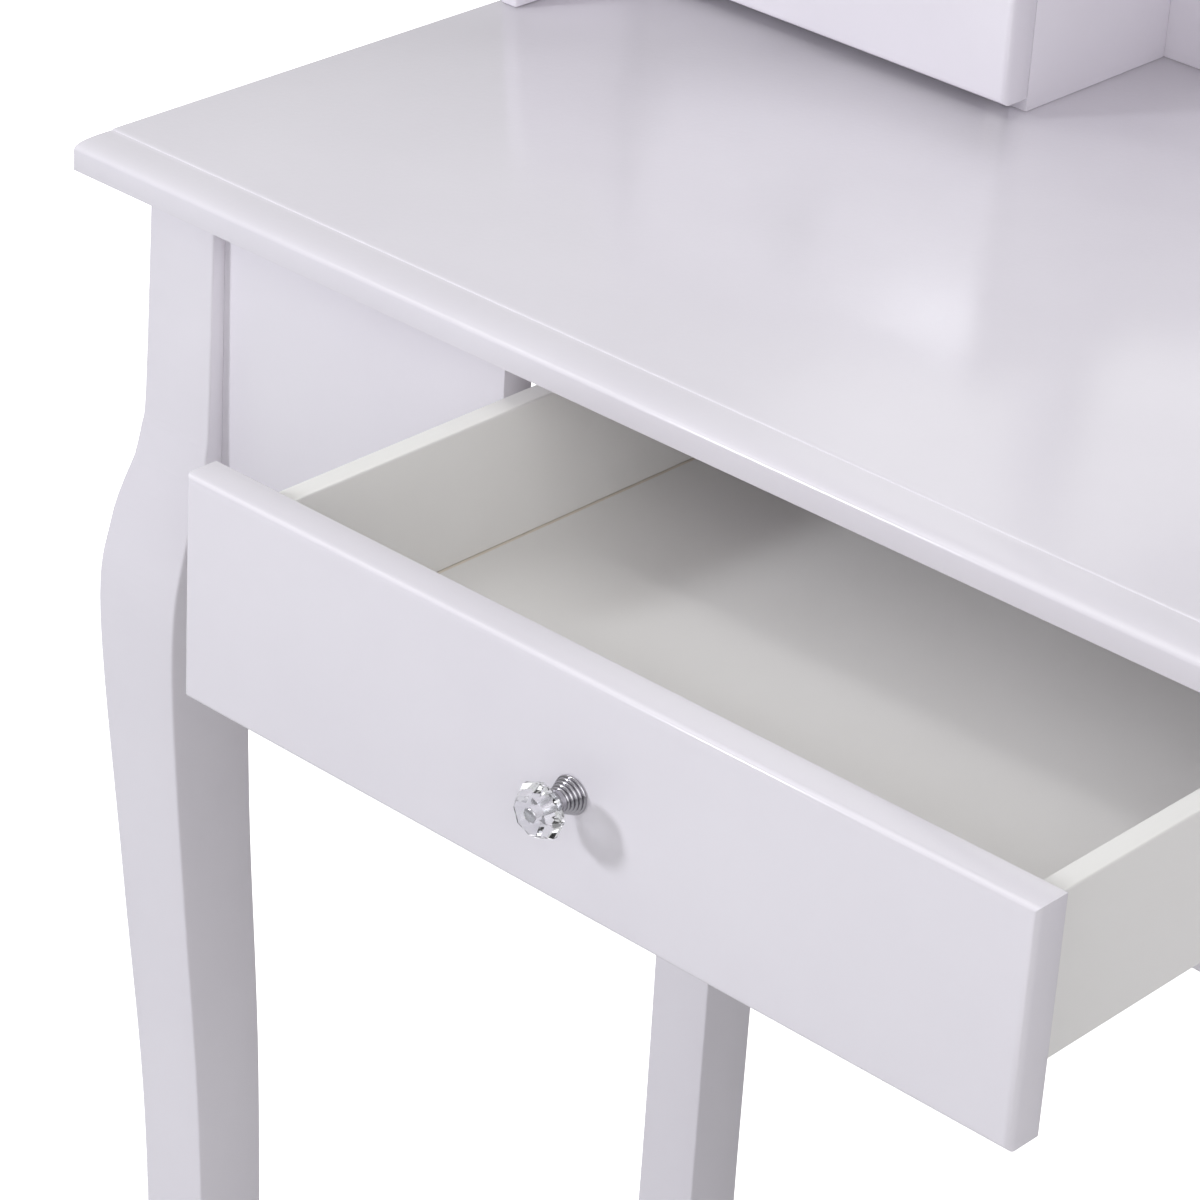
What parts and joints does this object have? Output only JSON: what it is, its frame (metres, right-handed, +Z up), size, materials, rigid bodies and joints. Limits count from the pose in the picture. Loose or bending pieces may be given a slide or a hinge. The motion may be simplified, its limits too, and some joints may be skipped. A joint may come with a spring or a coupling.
{
  "type": "vanity table with mirror",
  "caption": "Vanity table on cabriole legs with a wide centre drawer, small drawers at each end of a low hutch, and an oval mirror tilting between posts.",
  "frame": {"origin": "on the floor, at the middle of the outline seen from above with the centre drawer drawn out as stored", "axes": "+X to the right, +Y to the back, +Z up"},
  "size_m": [0.8, 0.5728, 1.39],
  "materials": {
    "white_lacquer": "satin white lacquer on board",
    "drawer_paint": "semi-matt pale paint",
    "raw_board": "bare",
    "chrome": "polished",
    "crystal": "clear, faceted",
    "mirror_glass": "silvered",
    "glide_plastic": "matt"
  },
  "bodies": {
    "table": {"table_top": "white_lacquer", "leg_front_left": "white_lacquer", "leg_front_right": "white_lacquer", "leg_rear_left": "white_lacquer", "leg_rear_right": "white_lacquer", "foot_glide_front_left": "glide_plastic", "foot_glide_front_right": "glide_plastic", "foot_glide_rear_left": "glide_plastic", "foot_glide_rear_right": "glide_plastic", "apron_front_left": "white_lacquer", "apron_front_right": "white_lacquer", "apron_side_left": "white_lacquer", "apron_side_right": "white_lacquer", "apron_back": "white_lacquer", "drawer_rail": "white_lacquer", "drawer_runner_left": "raw_board", "drawer_runner_right": "raw_board", "hutch_back": "white_lacquer", "hutch_wing_left": "white_lacquer", "hutch_wing_right": "white_lacquer", "hutch_inner_side_left": "white_lacquer", "hutch_inner_side_right": "white_lacquer", "hutch_cap_left": "white_lacquer", "hutch_cap_right": "white_lacquer", "mirror_post_left": "white_lacquer", "mirror_post_right": "white_lacquer"},
    "centre_drawer": {"centre_drawer_front": "white_lacquer", "centre_drawer_side_left": "drawer_paint", "centre_drawer_side_right": "drawer_paint", "centre_drawer_back": "drawer_paint", "centre_drawer_base": "drawer_paint", "centre_knob_foot": "chrome", "centre_knob_crystal": "crystal", "centre_knob_screw": "chrome"},
    "left_drawer": {"left_drawer_front": "white_lacquer", "left_drawer_side_left": "drawer_paint", "left_drawer_side_right": "drawer_paint", "left_drawer_back": "drawer_paint", "left_drawer_base": "drawer_paint", "left_knob_foot": "chrome", "left_knob_crystal": "crystal", "left_knob_screw": "chrome"},
    "right_drawer": {"right_drawer_front": "white_lacquer", "right_drawer_side_left": "drawer_paint", "right_drawer_side_right": "drawer_paint", "right_drawer_back": "drawer_paint", "right_drawer_base": "drawer_paint", "right_knob_foot": "chrome", "right_knob_crystal": "crystal", "right_knob_screw": "chrome"},
    "mirror": {"mirror_frame": "white_lacquer", "mirror_glass": "mirror_glass", "mirror_backing": "raw_board", "mirror_pivot_left": "chrome", "mirror_pivot_right": "chrome"}
  },
  "joints": [
    {"name": "centre_drawer_slide", "type": "slide", "parent": "table", "child": "centre_drawer", "axis": [0, -1, 0], "range_m": [-0.1585, 0.066]},
    {"name": "left_drawer_slide", "type": "slide", "parent": "table", "child": "left_drawer", "axis": [0, -1, 0], "range_m": [0, 0.065]},
    {"name": "right_drawer_slide", "type": "slide", "parent": "table", "child": "right_drawer", "axis": [0, -1, 0], "range_m": [0, 0.065]},
    {"name": "mirror_tilt", "type": "hinge", "parent": "table", "child": "mirror", "pos_m": [0, 0.25635, 1.155], "axis": [1, 0, 0], "range_deg": [-25, 25]}
  ]
}
